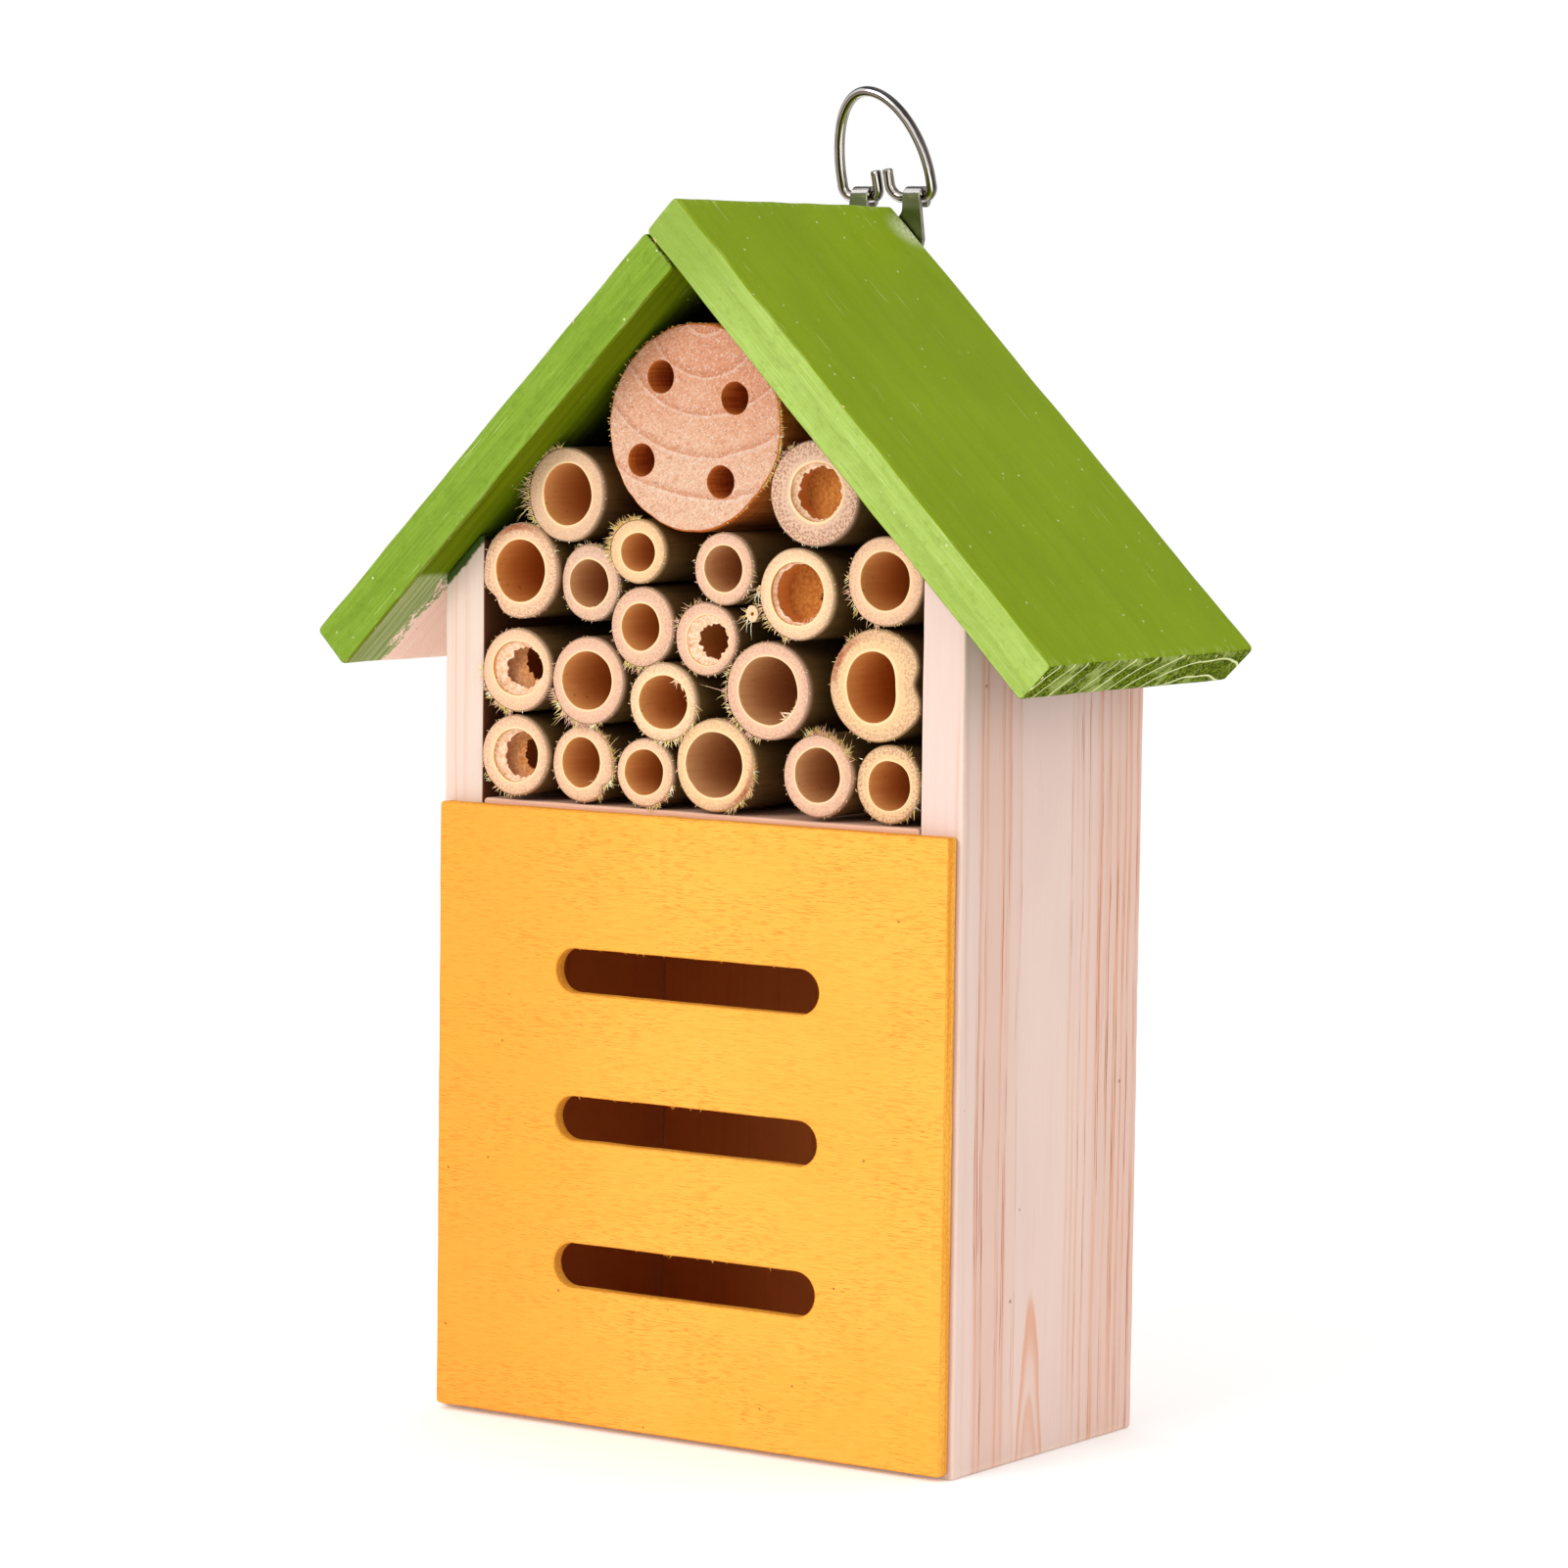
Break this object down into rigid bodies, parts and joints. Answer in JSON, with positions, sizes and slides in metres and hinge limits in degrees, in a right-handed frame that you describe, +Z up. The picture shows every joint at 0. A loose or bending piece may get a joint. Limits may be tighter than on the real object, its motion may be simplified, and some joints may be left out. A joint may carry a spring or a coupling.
{
  "type": "insect hotel",
  "caption": "Small wooden insect house with a pitched roof, bamboo canes and a drilled log over a slotted chamber, and a swinging wire hanging ring.",
  "frame": {"origin": "middle of the base, at the height of what it stands on", "axes": "+Z up, front faces -Y, ridge runs along Y"},
  "size_m": [0.1831, 0.0851, 0.2821],
  "materials": {
    "pine": "bare planed pine",
    "yellow_panel": "orange-yellow stained thin board",
    "green_paint": "green painted wood, satin",
    "bamboo": "sawn bamboo",
    "log_wood": "sawn end grain",
    "nickel_steel": "nickel plated steel"
  },
  "bodies": {
    "house": {"side_panel_left": "pine", "side_panel_right": "pine", "bottom_board": "pine", "shelf_board": "pine", "back_panel": "pine", "front_panel": "yellow_panel", "roof_board_left": "green_paint", "roof_board_right": "green_paint", "drilled_log": "log_wood", "cane_01": "bamboo", "cane_02": "bamboo", "cane_03": "bamboo", "cane_04": "bamboo", "cane_05": "bamboo", "cane_06": "bamboo", "cane_07": "bamboo", "cane_08": "bamboo", "cane_09": "bamboo", "cane_10": "bamboo", "cane_11": "bamboo", "cane_12": "bamboo", "cane_13": "bamboo", "cane_14": "bamboo", "cane_15": "bamboo", "cane_16": "bamboo", "cane_17": "bamboo", "cane_18": "bamboo", "cane_19": "bamboo", "cane_20": "bamboo", "cane_21": "bamboo", "twig_lower": "bamboo", "twig_upper": "bamboo", "hanger_plate": "nickel_steel", "hanger_screw_left": "nickel_steel", "hanger_screw_right": "nickel_steel"},
    "ring": {"hanger_ring": "nickel_steel"}
  },
  "joints": [
    {"name": "ring_swing", "type": "hinge", "parent": "house", "child": "ring", "pos_m": [-0.0023, 0.03775, 0.2586], "axis": [-1, 0, 0], "range_deg": [-74, 190]}
  ]
}
